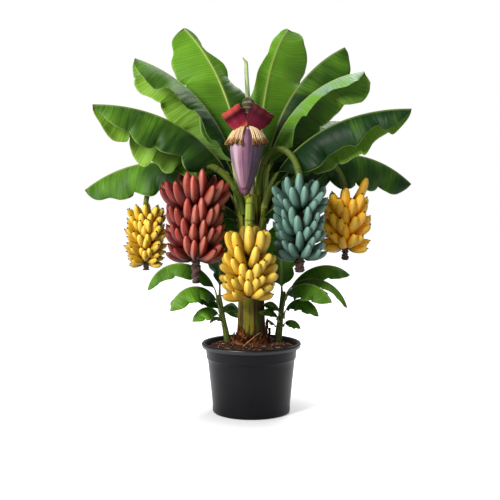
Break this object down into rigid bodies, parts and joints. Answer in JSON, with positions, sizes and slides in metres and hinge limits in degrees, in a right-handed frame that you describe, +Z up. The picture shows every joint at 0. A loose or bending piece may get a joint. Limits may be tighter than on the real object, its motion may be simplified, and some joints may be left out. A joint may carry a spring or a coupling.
{
  "type": "potted banana plant",
  "caption": "Potted banana plant with a fan of broad arching leaves, a hanging blossom, bunches of red, blue-green and yellow fruit on arching stalks, and low suckers at its foot.",
  "frame": {"origin": "centre of the pot's flat underside", "axes": "+Z up the stem, -Y towards the front, where the blossom hangs"},
  "size_m": [1.0326, 0.6983, 1.1725],
  "materials": {
    "pot": "semi-gloss near-black moulded plastic",
    "soil": "loose dark potting mix with white specks",
    "trunk": "satin green sheaths with brown strips",
    "dry_sheath": "dry brown fibre",
    "sucker_stem": "satin yellow-green",
    "fruit_stalk": "satin yellow-green",
    "leaf": "satin green with fine cross veins",
    "sucker_leaf": "satin light green",
    "young_leaf": "satin pale green",
    "fruit_red": "satin red peel",
    "fruit_blue": "waxy blue-green peel",
    "fruit_yellow": "satin yellow peel with brown tips",
    "fruit_amber": "satin amber peel with brown tips",
    "blossom_stalk": "scarred brown-green",
    "bud": "waxy mauve bracts",
    "bract": "satin crimson",
    "flower": "matte cream and orange"
  },
  "bodies": {
    "root": {"blossom_bud": "bud", "blossom_stalk": "blossom_stalk", "bract_left": "bract", "bract_right": "bract", "bunch_blue": "fruit_blue", "bunch_red": "fruit_red", "bunch_yellow_left": "fruit_yellow", "bunch_yellow_middle": "fruit_yellow", "bunch_yellow_right": "fruit_amber", "dry_sheath_left": "dry_sheath", "dry_sheath_right": "dry_sheath", "flowers_left": "flower", "flowers_right": "flower", "leaf_back": "leaf", "leaf_back_left": "leaf", "leaf_back_low": "leaf", "leaf_back_right": "leaf", "leaf_high_left": "leaf", "leaf_high_right": "leaf", "leaf_low_left": "leaf", "leaf_low_right": "leaf", "leaf_middle_left": "leaf", "leaf_middle_right": "leaf", "leaf_rolled": "young_leaf", "leaf_tall_right": "leaf", "leaf_upper_left": "leaf", "leaf_upper_right": "leaf", "pot": "pot", "soil": "soil", "stalk_blue_hanging": "fruit_stalk", "stalk_blue_rising": "fruit_stalk", "stalk_red_hanging": "fruit_stalk", "stalk_red_rising": "fruit_stalk", "stalk_yellow_left_hanging": "fruit_stalk", "stalk_yellow_left_rising": "fruit_stalk", "stalk_yellow_middle_hanging": "fruit_stalk", "stalk_yellow_middle_rising": "fruit_stalk", "stalk_yellow_right_hanging": "fruit_stalk", "stalk_yellow_right_rising": "fruit_stalk", "sucker_left": "sucker_stem", "sucker_left_leaf_far": "sucker_leaf", "sucker_left_leaf_inner": "sucker_leaf", "sucker_left_leaf_long": "sucker_leaf", "sucker_left_leaf_low": "sucker_leaf", "sucker_left_leaf_near": "sucker_leaf", "sucker_left_leaf_tiny": "sucker_leaf", "sucker_left_leaf_upright": "sucker_leaf", "sucker_right": "sucker_stem", "sucker_right_leaf_dark": "sucker_leaf", "sucker_right_leaf_high": "sucker_leaf", "sucker_right_leaf_inner": "sucker_leaf", "sucker_right_leaf_long": "sucker_leaf", "sucker_right_leaf_low": "sucker_leaf", "sucker_right_leaf_lowest": "sucker_leaf", "sucker_right_leaf_near": "sucker_leaf", "sucker_right_leaf_small": "sucker_leaf", "sucker_right_leaf_upright": "sucker_leaf", "trunk": "trunk"}
  },
  "joints": []
}
